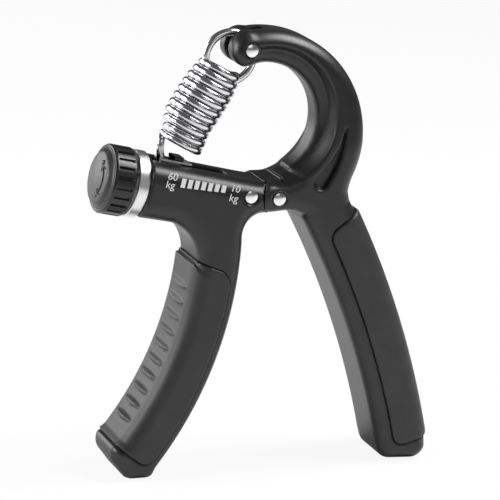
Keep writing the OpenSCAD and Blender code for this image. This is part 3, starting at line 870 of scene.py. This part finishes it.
def arrow_head(tip, turn):
    """Two short strokes that meet at a tip, one on each side of the arc."""
    tail = tip - turn * head_long
    return [on_cap(tail, arrow_r + head_wide), on_cap(tip, arrow_r), on_cap(tail, arrow_r - head_wide)]


sweep = np.linspace(-arrow_half, arrow_half, 30)
arrow = {
    "sweep": [on_cap(arrow_middle + a, arrow_r) for a in sweep],
    "head_more": arrow_head(arrow_middle + arrow_half, 1),
    "head_less": arrow_head(arrow_middle - arrow_half, -1),
    "plus_a": [on_cap(sign_a, sign_r + step) for step in (-0.8, 0, 0.8)],
    "plus_b": [on_cap(sign_a + step, sign_r) for step in (-0.12, 0, 0.12)],
    "minus": [on_cap(-sign_a + step, sign_r) for step in (-0.12, 0, 0.12)]}
for part, path in arrow.items():
    line = tube(f"cap_arrow_{part}", path, line_r, tab_black, 8)
    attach(line, "knob")

# %% [markdown]
# ## Finishes of the pieces inside
# The pieces inside the barrel keep their modelled shape and get their finish here.

# %% Inner finishes
inner = {"hinge_plate": steel, "end_bush": brass, "lead_screw": zinc, "thrust_washer": zinc,
         "screw_clip": steel, "knob_hub_screw": zinc, "slider_nut": zinc, "hook_pin": steel}
for node, material in inner.items():
    thing = frame["nodes"][node]
    if not thing.material_slots:
        thing.data.materials.append(material)
    thing.material_slots[0].material = material
print("inner pieces:", ", ".join(inner))

# %% [markdown]
# ## Studio
# A white floor and a white surround. Two broad soft lamps stand on the left, one a little behind
# the front and one at the back; one hangs above on the right, and a weak one fills the front. The
# floor is partly lit by the lamps and partly white by itself to the camera, so that it stays
# white and still takes a soft shadow.

# %% Floor and surround
def white_to_camera(tree, strength):
    """A value that is strength for camera and glass rays and zero for all others."""
    rays = tree.nodes.new("ShaderNodeLightPath")
    total = tree.nodes.new("ShaderNodeMath")
    total.operation = "ADD"
    tree.links.new(rays.outputs["Is Camera Ray"], total.inputs[0])
    tree.links.new(rays.outputs["Is Transmission Ray"], total.inputs[1])
    scaled = tree.nodes.new("ShaderNodeMath")
    scaled.operation = "MULTIPLY"
    scaled.use_clamp = True
    scaled.inputs[1].default_value = strength
    tree.links.new(total.outputs[0], scaled.inputs[0])
    return scaled.outputs[0]


floor_mesh = bpy.data.meshes.new("floor")
floor_mesh.from_pydata([(-4, -4, 0), (4, -4, 0), (4, 4, 0), (-4, 4, 0)], [], [(0, 1, 2, 3)])
floor = bpy.data.objects.new("floor", floor_mesh)
bpy.context.scene.collection.objects.link(floor)
floor_white = bpy.data.materials.new("floor_white")
floor_white.use_nodes = True
tree = floor_white.node_tree
paint = tree.nodes["Principled BSDF"]
paint.inputs["Base Color"].default_value = (0.86, 0.86, 0.86, 1)
paint.inputs["Roughness"].default_value = 0.9
glow = tree.nodes.new("ShaderNodeEmission")
blend_node = tree.nodes.new("ShaderNodeMixShader")
tree.links.new(white_to_camera(tree, 0.9), blend_node.inputs["Fac"])
tree.links.new(paint.outputs[0], blend_node.inputs[1])
tree.links.new(glow.outputs[0], blend_node.inputs[2])
tree.links.new(blend_node.outputs[0], tree.nodes["Material Output"].inputs["Surface"])
floor_mesh.materials.append(floor_white)

world = bpy.data.worlds.new("surround")
bpy.context.scene.world = world
world.use_nodes = True
sky = world.node_tree.nodes["Background"]
sky.inputs["Color"].default_value = (1, 1, 1, 1)
rays = world.node_tree.nodes.new("ShaderNodeLightPath")
level = world.node_tree.nodes.new("ShaderNodeMapRange")
level.inputs["To Min"].default_value = 0.12
level.inputs["To Max"].default_value = 1.0
world.node_tree.links.new(rays.outputs["Is Camera Ray"], level.inputs["Value"])
world.node_tree.links.new(level.outputs["Result"], sky.inputs["Strength"])


# %% Lamps
def lamp(name, place, aim, size, power):
    """A square soft lamp at a place in metres, turned to face a point."""
    light = bpy.data.lights.new(name, "AREA")
    light.size = size
    light.energy = power
    thing = bpy.data.objects.new(name, light)
    bpy.context.scene.collection.objects.link(thing)
    thing.location = place
    thing.rotation_euler = (Vector(aim) - Vector(place)).to_track_quat("-Z", "Y").to_euler()
    return thing


aim = (0, 0, 0.08)
lamp("left_softbox", (-0.9, 0.12, 0.38), aim, 0.45, 7)
lamp("back_left_softbox", (-0.65, 0.85, 0.3), aim, 0.7, 6)
lamp("top_right_softbox", (0.5, -0.1, 0.75), aim, 0.45, 9)
lamp("front_fill", (0.1, -1.1, 0.55), aim, 0.5, 0.8)

# %% [markdown]
# ## Camera
# The camera looks down a little from the left of the front, from a metre away through a long
# lens, and is turned a few degrees about its own axis.

# %% Camera
azimuth, elevation, roll = (math.radians(v) for v in (-22.3, 16.0, 3.6))
target = Vector((-0.00465, 0, 0.07505))
level_back = Vector((math.sin(azimuth), -math.cos(azimuth), 0))
back = level_back * math.cos(elevation) + Vector((0, 0, math.sin(elevation)))
flat_right = Vector((math.cos(azimuth), math.sin(azimuth), 0))
flat_up = back.cross(flat_right)
right_side = flat_right * math.cos(roll) + flat_up * math.sin(roll)
up_side = flat_up * math.cos(roll) - flat_right * math.sin(roll)
camera_data = bpy.data.cameras.new("camera")
camera_data.sensor_width = 36
camera_data.lens = 216
camera_data.clip_start, camera_data.clip_end = 0.05, 50
camera = bpy.data.objects.new("camera", camera_data)
bpy.context.scene.collection.objects.link(camera)
turn = Matrix((right_side, up_side, back)).transposed().to_4x4()
camera.matrix_world = Matrix.Translation(target + back) @ turn
bpy.context.scene.camera = camera
bpy.context.scene.view_settings.view_transform = "Standard"
